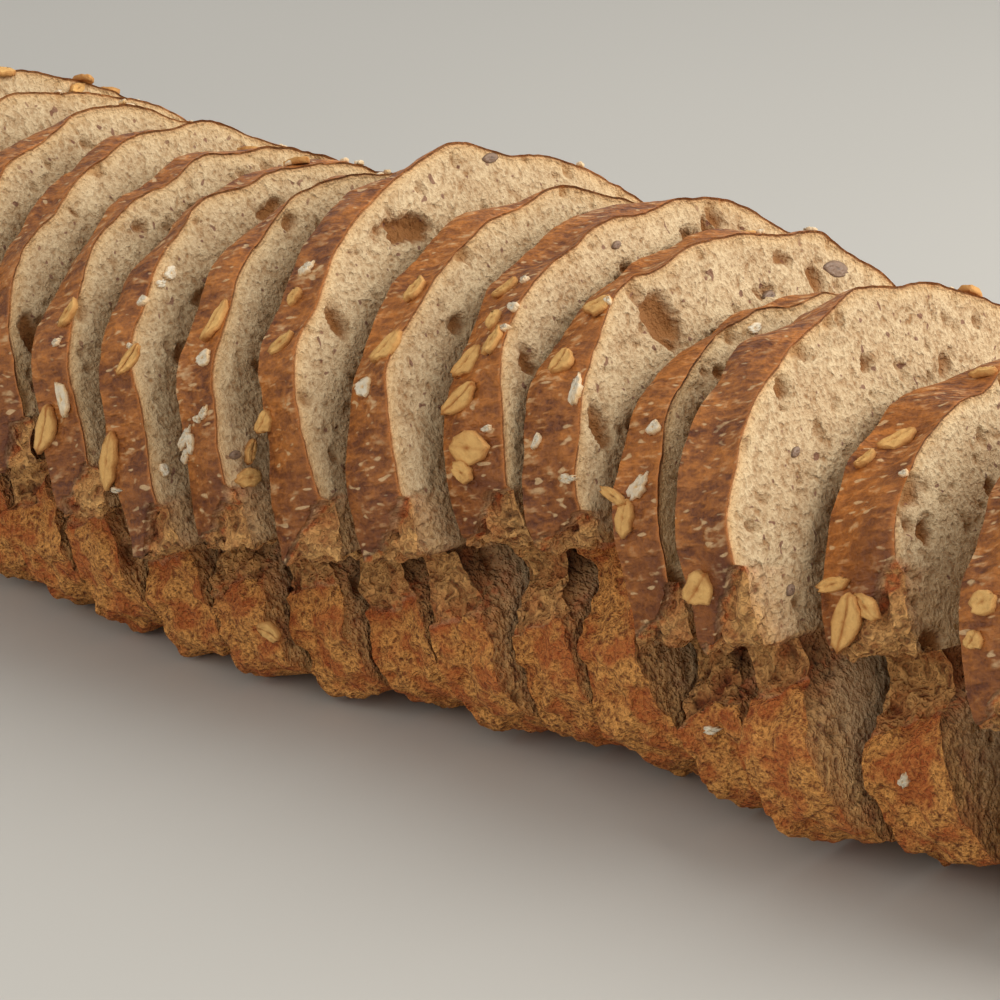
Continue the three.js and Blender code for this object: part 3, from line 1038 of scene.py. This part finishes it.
# Flakes, chips and seeds: a few shapes, set on points by Geometry Nodes. Sizes are in metres.

FLAKE_LIFT = 0.0003             # how far a flake's middle stands off the crust
CHIP_THICKNESS = 0.0008
SPARE_CHIP_THICKNESS = 0.0006
SEED_THICKNESS = 0.0012
SPARE_LOWEST = 0.045            # lowest place of a flake that the picture doesn't give


def flake_shape(name, material, seed, crease, curl, rough):
    """One flake of unit length and width: a domed oval plate with a crease, curled a little.

    A rough one has a more uneven edge and top.
    """
    random = np.random.RandomState(seed)
    rings, around = 5, 18
    angle = np.arange(around) * 2 * math.pi / around
    wobble = 1 + rough * sum(
        random.uniform(-1, 1) * np.cos(k * angle + random.uniform(0, 6)) / k for k in (2, 3, 5))
    wobble = wobble * (1 + 0.5 * rough * random.uniform(-1, 1, around))
    points, dark = [(0.0, 0.0, 0.0)], [1.0]
    faces = []
    for ring in range(1, rings + 1):
        reach = (ring / rings) ** 0.8
        for step in range(around):
            x = 0.5 * reach * wobble[step] * math.cos(angle[step])
            taper = 1 - 0.35 * abs(2 * x) ** 2.5
            y = 0.5 * reach * wobble[step] * taper * math.sin(angle[step])
            points.append((x, y, 0.0))
            # A dark line along the crease, painted shade in its groove, and a darker outer band at
            # the edge
            line = min(1.0, 3 * crease) * math.exp(-(y / 0.045) ** 2)
            dark.append(line + 0.5 * max(0.0, reach - 0.8) * 5)
    top = np.array(points)
    x, y = top[:, 0], top[:, 1]
    radius = np.sqrt(x ** 2 + y ** 2) * 2
    dome = 0.3 * np.sqrt(np.clip(1.02 - radius ** 2, 0, 1)) + 0.3
    groove = crease * np.exp(-(y / 0.06) ** 2) * np.clip(1.1 - abs(2.2 * x), 0, 1)
    ridges = 0.12 * crease * np.cos(y * 42)
    bend = curl * (2 * x) ** 2
    uneven = (0.06 + 0.5 * rough) * random.uniform(-1, 1, len(x))
    under = top.copy()
    top[:, 2] = dome - groove + ridges + bend + uneven
    under[:, 2] = np.minimum(bend - 0.5, top[:, 2] - 0.3)
    total = len(top)

    def at(ring, step, layer):
        return layer * total + (0 if ring == 0 else 1 + (ring - 1) * around + step % around)

    for step in range(around):
        faces.append((at(0, 0, 0), at(1, step, 0), at(1, step + 1, 0)))
        faces.append((at(0, 0, 1), at(1, step + 1, 1), at(1, step, 1)))
        for ring in range(1, rings):
            a, b = at(ring, step, 0), at(ring + 1, step, 0)
            c, d = at(ring + 1, step + 1, 0), at(ring, step + 1, 0)
            faces.extend([(a, b, c), (a, c, d)])
        for ring in range(1, rings):
            a, b = at(ring, step, 1), at(ring + 1, step, 1)
            c, d = at(ring + 1, step + 1, 1), at(ring, step + 1, 1)
            faces.extend([(a, c, b), (a, d, c)])
        a, b = at(rings, step, 0), at(rings, step + 1, 0)
        c, d = at(rings, step + 1, 1), at(rings, step, 1)
        faces.extend([(a, d, c), (a, c, b)])
    everything = np.vstack([top, under])
    # The underside gets painted shade
    crease_value = np.clip(np.array(dark + [0.6] * total), 0, 1)
    return mesh_object(name, everything, np.array(faces), {"crease": crease_value}, material)


def scatter_tree():
    """A node tree that sets one of a collection's shapes on each point."""
    tree = bpy.data.node_groups.new("Shapes on points", "GeometryNodeTree")
    face = tree.interface
    face.new_socket("Geometry", in_out="INPUT", socket_type="NodeSocketGeometry")
    shapes = face.new_socket("Shapes", in_out="INPUT", socket_type="NodeSocketCollection")
    finish = face.new_socket("Finish", in_out="INPUT", socket_type="NodeSocketMaterial")
    overall = face.new_socket("Overall size", in_out="INPUT", socket_type="NodeSocketFloat")
    overall.default_value = 1.0
    face.new_socket("Geometry", in_out="OUTPUT", socket_type="NodeSocketGeometry")

    def node(kind, settings, values):
        made = tree.nodes.new(kind)
        for name, value in settings.items():
            setattr(made, name, value)
        for name, value in values.items():
            if isinstance(value, bpy.types.NodeSocket):
                tree.links.new(value, made.inputs[name])
            else:
                made.inputs[name].default_value = value
        return made

    start = node("NodeGroupInput", {}, {})
    parts = node("GeometryNodeCollectionInfo", {}, {
        "Collection": start.outputs["Shapes"], "Separate Children": True,
        "Reset Children": True})
    turn = node("GeometryNodeInputNamedAttribute", {"data_type": "FLOAT_VECTOR"},
                {"Name": "turn"})
    size = node("GeometryNodeInputNamedAttribute", {"data_type": "FLOAT_VECTOR"},
                {"Name": "size"})
    kind = node("GeometryNodeInputNamedAttribute", {"data_type": "INT"}, {"Name": "kind"})
    spin = node("FunctionNodeEulerToRotation", {}, {0: turn.outputs["Attribute"]})
    scaled = node("ShaderNodeVectorMath", {"operation": "SCALE"}, {
        0: size.outputs["Attribute"], "Scale": start.outputs["Overall size"]})
    placed = node("GeometryNodeInstanceOnPoints", {}, {
        "Points": start.outputs["Geometry"], "Instance": parts.outputs[0],
        "Pick Instance": True, "Instance Index": kind.outputs["Attribute"],
        "Rotation": spin.outputs[0], "Scale": scaled.outputs[0]})
    real = node("GeometryNodeRealizeInstances", {}, {"Geometry": placed.outputs[0]})
    done = node("GeometryNodeSetMaterial", {}, {
        "Geometry": real.outputs[0], "Material": start.outputs["Finish"]})
    node("NodeGroupOutput", {}, {0: done.outputs[0]})
    return tree, (shapes.identifier, finish.identifier, overall.identifier)


def set_on_points(name, places, shapes, material):
    """One mesh of shapes: each place gives a point, three turned axes, three sizes and a kind."""
    collection = bpy.data.collections.new(f"{name}_shapes")
    for shape in shapes:
        bpy.context.scene.collection.objects.unlink(shape)
        collection.objects.link(shape)
    mesh = bpy.data.meshes.new(name)
    mesh.from_pydata([place["point"] for place in places], [], [])
    turns, sizes, kinds = [], [], []
    for place in places:
        axes = Matrix(place["axes"]).transposed()
        turns.extend(axes.to_euler("XYZ"))
        sizes.extend(place["size"])
        kinds.append(place["kind"] % len(shapes))
    mesh.attributes.new("turn", "FLOAT_VECTOR", "POINT").data.foreach_set("vector", turns)
    mesh.attributes.new("size", "FLOAT_VECTOR", "POINT").data.foreach_set("vector", sizes)
    mesh.attributes.new("kind", "INT", "POINT").data.foreach_set("value", kinds)
    carrier = bpy.data.objects.new(f"{name}_points", mesh)
    bpy.context.scene.collection.objects.link(carrier)
    tree, identifiers = scatter_tree()
    modifier = carrier.modifiers.new("Shapes on points", "NODES")
    modifier.node_group = tree
    for identifier, value in zip(identifiers, (collection, material, 1.0)):
        modifier[identifier] = value
    graph = bpy.context.evaluated_depsgraph_get()
    made = bpy.data.meshes.new_from_object(carrier.evaluated_get(graph), depsgraph=graph)
    made.name = name
    if len(made.polygons) == 0:
        raise RuntimeError(f"{name} came out empty")
    made.polygons.foreach_set("use_smooth", np.ones(len(made.polygons), bool))
    piece = bpy.data.objects.new(name, made)
    bpy.context.scene.collection.objects.link(piece)
    carrier.modifiers.remove(modifier)
    bpy.data.objects.remove(carrier)
    for shape in list(collection.objects):
        bpy.data.objects.remove(shape)
    bpy.data.collections.remove(collection)
    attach(piece, BODY)
    return piece


def camera_axes(stage):
    """Where the camera is, the way back to it from the target, and the picture's right and up."""
    azimuth, elevation = stage.azimuth, stage.elevation
    back = Vector((
        math.sin(azimuth) * math.cos(elevation), -math.cos(azimuth) * math.cos(elevation),
        math.sin(elevation)))
    right = Vector((math.cos(azimuth), math.sin(azimuth), 0))
    up = back.cross(right)
    return Vector(stage.target) + stage.distance * back, back, right, up


def focal_pixels(stage):
    """The lens's focal length in pixels of the picture."""
    return stage.lens / SENSOR * PICTURE


def picture_ray(stage, x, y):
    """Where the camera is, and the direction from it through a pixel of the picture."""
    place, back, right, up = camera_axes(stage)
    across, down = x - PICTURE / 2, y - PICTURE / 2
    return place, (right * across - up * down - back * focal_pixels(stage)).normalized()


def first_slice_hit(start, direction):
    """Nearest slice on a line: the point, the outward direction there, and how much is crust."""
    best = None
    for name, (faces, outward, crust) in SLICE_FACTS.items():
        piece = bpy.data.objects[name]
        found, point, _, face = piece.ray_cast(start, direction)
        if found and (best is None or (point - start).length < best[0]):
            corners = faces[face]
            away = Vector(outward[corners].mean(axis=0)).normalized()
            best = ((point - start).length, point, away, float(crust[corners].mean()))
    return best


PIXEL_SHIFTS = (0, -3, 3, -6, 6, -10, -14)  # where crust is looked for beside a flake's pixel
CRUST_WANTED = 0.6       # share of crust that a flake or chip looks for
CRUST_ALLOWED = 0.3      # share of crust at which a seed is left out
SHALLOWEST = 0.15        # cosine of the flattest view of a surface that still gives a place
HALF_SPAN = 5            # pixels each way over which a flake's direction is taken
LENGTH_LIMITS = (0.0008, 0.0112)
WIDTH_LIMITS = (0.0007, 0.0068)
WIDTH_FACTOR = 1.15      # the shapes are narrower than their unit width


def lie_on_slice(stage, item, on_crust, thickness, kind, lift):
    """Place for a flake at a picture's pixel: it lies on the slice that shows there."""
    hit = None
    for shift in PIXEL_SHIFTS:
        start, direction = picture_ray(stage, item["x"] + shift, item["y"])
        hit = first_slice_hit(start, direction)
        if hit and (hit[3] > CRUST_WANTED or not on_crust):
            break
    if not hit:
        return None
    _, point, away, crust_share = hit
    if not on_crust and crust_share > CRUST_ALLOWED:
        return None

    def on_plane(x, y):
        start_here, way = picture_ray(stage, x, y)
        slope = way.dot(away)
        if abs(slope) < SHALLOWEST:
            return None
        return start_here + way * ((point - start_here).dot(away) / slope)

    turn = math.radians(item["turn"])
    right, down = HALF_SPAN * math.cos(turn), -HALF_SPAN * math.sin(turn)
    ahead = on_plane(item["x"] + right, item["y"] + down)
    behind = on_plane(item["x"] - right, item["y"] - down)
    if ahead is None or behind is None:
        return None
    along = (ahead - behind) / (2 * HALF_SPAN)
    length = min(max(along.length * item["long"], LENGTH_LIMITS[0]), LENGTH_LIMITS[1])
    along.normalize()
    side = away.cross(along).normalized()
    per_pixel = (point - camera_axes(stage)[0]).length / focal_pixels(stage)
    width = min(
        max(per_pixel * item["wide"] * WIDTH_FACTOR, WIDTH_LIMITS[0]), WIDTH_LIMITS[1])
    return dict(
        point=point + away * lift, axes=(along, side, away), size=(length, width, thickness),
        kind=kind)


def seen_places(items, on_crust, thickness, lift):
    """Places for the flakes, chips or seeds of a table, leaving out any that find no slice."""
    stage = bpy.context.scene.loaf_stage
    places = []
    for kind, item in enumerate(items):
        place = lie_on_slice(stage, item, on_crust, thickness, kind, lift)
        if place:
            places.append(place)
    return places


class LOAF_OT_oats(bpy.types.Operator):
    """Lay the toasted oat flakes on the crust"""
    bl_idname = "loaf.oats"
    bl_label = "Oat flakes"

    def execute(self, context):
        colours = context.scene.loaf_flakes
        material = flake_finish("toasted_oat", colours.oat, colours.oat_dark, roughness=0.8)
        shapes = [
            flake_shape("oat_shape_a", material, seed=1, crease=0.34, curl=0.3, rough=0.2),
            flake_shape("oat_shape_b", material, seed=2, crease=0.12, curl=-0.25, rough=0.28),
            flake_shape("oat_shape_c", material, seed=3, crease=0.04, curl=0.4, rough=0.34),
            flake_shape("oat_shape_d", material, seed=4, crease=0.22, curl=0.2, rough=0.26),
        ]
        places = seen_places(OAT_FLAKES, True, colours.thickness, lift=FLAKE_LIFT)
        places.extend(spare_flakes(
            colours.thickness, wanted=16, lengths=(0.0052, 0.0075), widths=(0.003, 0.0042),
            seed=5))
        set_on_points("oat_flakes", places, shapes, material)
        return {"FINISHED"}


def spare_flakes(thickness, wanted, lengths, widths, seed):
    """Places for flakes on the dome, where its crust faces away from the stage's camera."""
    random = np.random.RandomState(seed)
    places = []
    names = sorted(SLICE_FACTS)
    stage = bpy.context.scene.loaf_stage
    eye = camera_axes(stage)[0]
    while len(places) < wanted:
        name = names[random.randint(len(names))]
        faces, outward, crust = SLICE_FACTS[name]
        corner = faces[random.randint(len(faces))][0]
        away = Vector(outward[corner])
        point = bpy.data.objects[name].data.vertices[int(corner)].co.copy()
        across = away.y
        if crust[corner] < 0.95 or abs(away.x) > 0.9 or point.z < SPARE_LOWEST:
            continue
        if across < -0.2 or random.uniform() < max(across, 0):
            continue
        sight = eye - point
        if away.dot(sight.normalized()) > -0.12:
            continue
        turn = random.uniform(0, math.pi)
        first = away.orthogonal().normalized()
        along = first * math.cos(turn) + away.cross(first) * math.sin(turn)
        places.append(dict(
            point=point + away * FLAKE_LIFT, axes=(along, away.cross(along), away),
            size=(random.uniform(*lengths), random.uniform(*widths), thickness),
            kind=random.randint(6)))
    return places


class LOAF_OT_chips(bpy.types.Operator):
    """Lay the pale chips and slivers of broken flake on the crust"""
    bl_idname = "loaf.chips"
    bl_label = "Pale chips"

    def execute(self, context):
        colours = context.scene.loaf_flakes
        material = flake_finish("pale_flake", colours.chip, colours.oat, roughness=0.75)
        shapes = [
            flake_shape("chip_shape_a", material, seed=11, crease=0.0, curl=0.3, rough=0.45),
            flake_shape("chip_shape_b", material, seed=12, crease=0.0, curl=-0.2, rough=0.5),
        ]
        places = seen_places(PALE_CHIPS, True, CHIP_THICKNESS, lift=0.0002)
        places.extend(spare_flakes(
            SPARE_CHIP_THICKNESS, wanted=70, lengths=(0.001, 0.0026), widths=(0.0007, 0.0014),
            seed=6))
        set_on_points("pale_chips", places, shapes, material)
        return {"FINISHED"}


class LOAF_OT_seeds(bpy.types.Operator):
    """Set the seeds in the cut faces"""
    bl_idname = "loaf.seeds"
    bl_label = "Seeds"

    def execute(self, context):
        colours = context.scene.loaf_flakes
        # Darker seed colour for the edge, and painted shade on the underside
        dark = tuple(0.5 * part for part in colours.seed[:3]) + (1.0,)
        material = flake_finish("grey_seed", colours.seed, dark, roughness=0.45)
        shapes = [flake_shape(
            "seed_shape", material, seed=21, crease=0.0, curl=0.0, rough=0.08)]
        places = seen_places(CRUMB_SEEDS, False, SEED_THICKNESS, lift=-0.0003)
        set_on_points("crumb_seeds", places, shapes, material)
        return {"FINISHED"}


def area_light(name, place, aim, size, power, shade):
    """A large soft lamp that points at a place."""
    lamp = bpy.data.lights.new(name, "AREA")
    lamp.shape = "DISK"
    lamp.size = size
    lamp.energy = power
    lamp.color = shade
    holder = bpy.data.objects.new(name, lamp)
    holder.location = place
    holder.rotation_euler = (Vector(aim) - Vector(place)).to_track_quat("-Z", "Y").to_euler()
    bpy.context.scene.collection.objects.link(holder)


class LOAF_OT_stage(bpy.types.Operator):
    """Make the floor, the lights and the camera"""
    bl_idname = "loaf.stage"
    bl_label = "Stage"

    def execute(self, context):
        scene = context.scene
        stage = scene.loaf_stage
        place, back, _, _ = camera_axes(stage)
        lens = bpy.data.cameras.new("picture_camera")
        lens.lens = stage.lens
        lens.sensor_width = SENSOR
        lens.sensor_fit = "HORIZONTAL"
        lens.clip_start = 0.01
        lens.clip_end = 50
        camera = bpy.data.objects.new("picture_camera", lens)
        camera.location = place
        camera.rotation_euler = (-back).to_track_quat("-Z", "Y").to_euler()
        scene.collection.objects.link(camera)
        scene.camera = camera

        reach = 6.0  # half of the floor's side, in metres
        corners = [(-reach, -reach, 0), (reach, -reach, 0), (reach, reach, 0), (-reach, reach, 0)]
        floor = mesh_object(
            "floor", np.array(corners), np.array([(0, 1, 2), (0, 2, 3)]), {},
            floor_finish(stage.floor))

        area_light(
            "key_light", place=(0.5, 0.33, 0.46), aim=(0, 0, 0), size=0.8,
            power=stage.key_power, shade=(1, 0.985, 0.95))
        area_light(
            "fill_light", place=(-0.1, -0.9, 0.6), aim=(0, 0, 0.02), size=0.8,
            power=stage.fill_power, shade=(1, 0.97, 0.92))

        world = bpy.data.worlds.new("even_light")
        world.use_nodes = True
        sky = world.node_tree.nodes["Background"]
        sky.inputs["Color"].default_value = (1.0, 0.985, 0.96, 1.0)
        sky.inputs["Strength"].default_value = stage.sky
        scene.world = world
        scene.view_settings.view_transform = "Standard"
        scene.view_settings.look = "None"
        return {"FINISHED"}


class LOAF_PT_panel(bpy.types.Panel):
    """Lists the parts of the loaf in the sidebar"""
    bl_idname = "LOAF_PT_panel"
    bl_label = "Sliced loaf"
    bl_space_type = "VIEW_3D"
    bl_region_type = "UI"
    bl_category = "Loaf"

    def draw(self, context):
        for settings in (context.scene.loaf_sizes, context.scene.loaf_colours,
                         context.scene.loaf_flakes, context.scene.loaf_stage):
            box = self.layout.box()
            for name in settings.bl_rna.properties.keys():
                if name not in ("rna_type", "name"):
                    box.prop(settings, name)
        for operator in OPERATORS:
            self.layout.operator(operator.bl_idname)


OPERATORS = (LOAF_OT_stage, LOAF_OT_slices, LOAF_OT_oats, LOAF_OT_chips, LOAF_OT_seeds)
SETTINGS = (
    ("loaf_sizes", LoafSizes), ("loaf_colours", BreadColours), ("loaf_flakes", FlakeColours),
    ("loaf_stage", StageSettings))


def register():
    for name, group in SETTINGS:
        bpy.utils.register_class(group)
        setattr(bpy.types.Scene, name, PointerProperty(type=group))
    for operator in OPERATORS:
        bpy.utils.register_class(operator)
    bpy.utils.register_class(LOAF_PT_panel)


def unregister():
    bpy.utils.unregister_class(LOAF_PT_panel)
    for operator in reversed(OPERATORS):
        bpy.utils.unregister_class(operator)
    for name, group in reversed(SETTINGS):
        delattr(bpy.types.Scene, name)
        bpy.utils.unregister_class(group)


def main():
    register()
    bpy.ops.loaf.stage()
    bpy.ops.loaf.slices()
    bpy.context.view_layer.update()
    bpy.ops.loaf.oats()
    bpy.ops.loaf.chips()
    bpy.ops.loaf.seeds()


if __name__ == "__main__":
    main()
